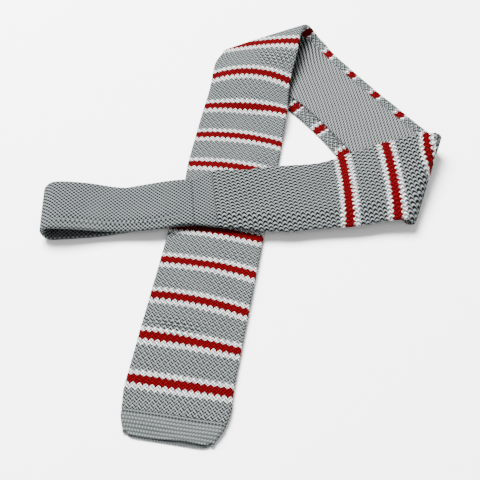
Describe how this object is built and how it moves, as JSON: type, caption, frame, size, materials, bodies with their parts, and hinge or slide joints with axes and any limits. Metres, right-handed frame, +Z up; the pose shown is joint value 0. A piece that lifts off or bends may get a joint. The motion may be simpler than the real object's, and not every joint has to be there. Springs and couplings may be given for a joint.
{
  "type": "knit tie",
  "caption": "Striped knit tie with a square hem, lying folded: the blade rolls under, turns back and crosses itself, and the narrow neck band ends in a loop.",
  "frame": {"origin": "flat underside of the front run, on its middle line, 106 mm from the hem end", "axes": "+Z up from the surface it lies on, +Y along the front run away from the hem, +X to the right seen from above"},
  "size_m": [0.235, 0.3193, 0.0221],
  "materials": {
    "striped_knit": "matt grey tuck knit with red stripes edged in white",
    "lining_jersey": "matt grey jersey with fine lengthwise ribs",
    "hem_knit": "matt grey fine tubular knit",
    "neck_jersey": "matt grey fine jersey"
  },
  "bodies": {
    "root": {"blade_shell": "striped_knit", "blade_lining": "lining_jersey", "hem_band": "hem_knit", "neck_band": "neck_jersey"}
  },
  "joints": []
}
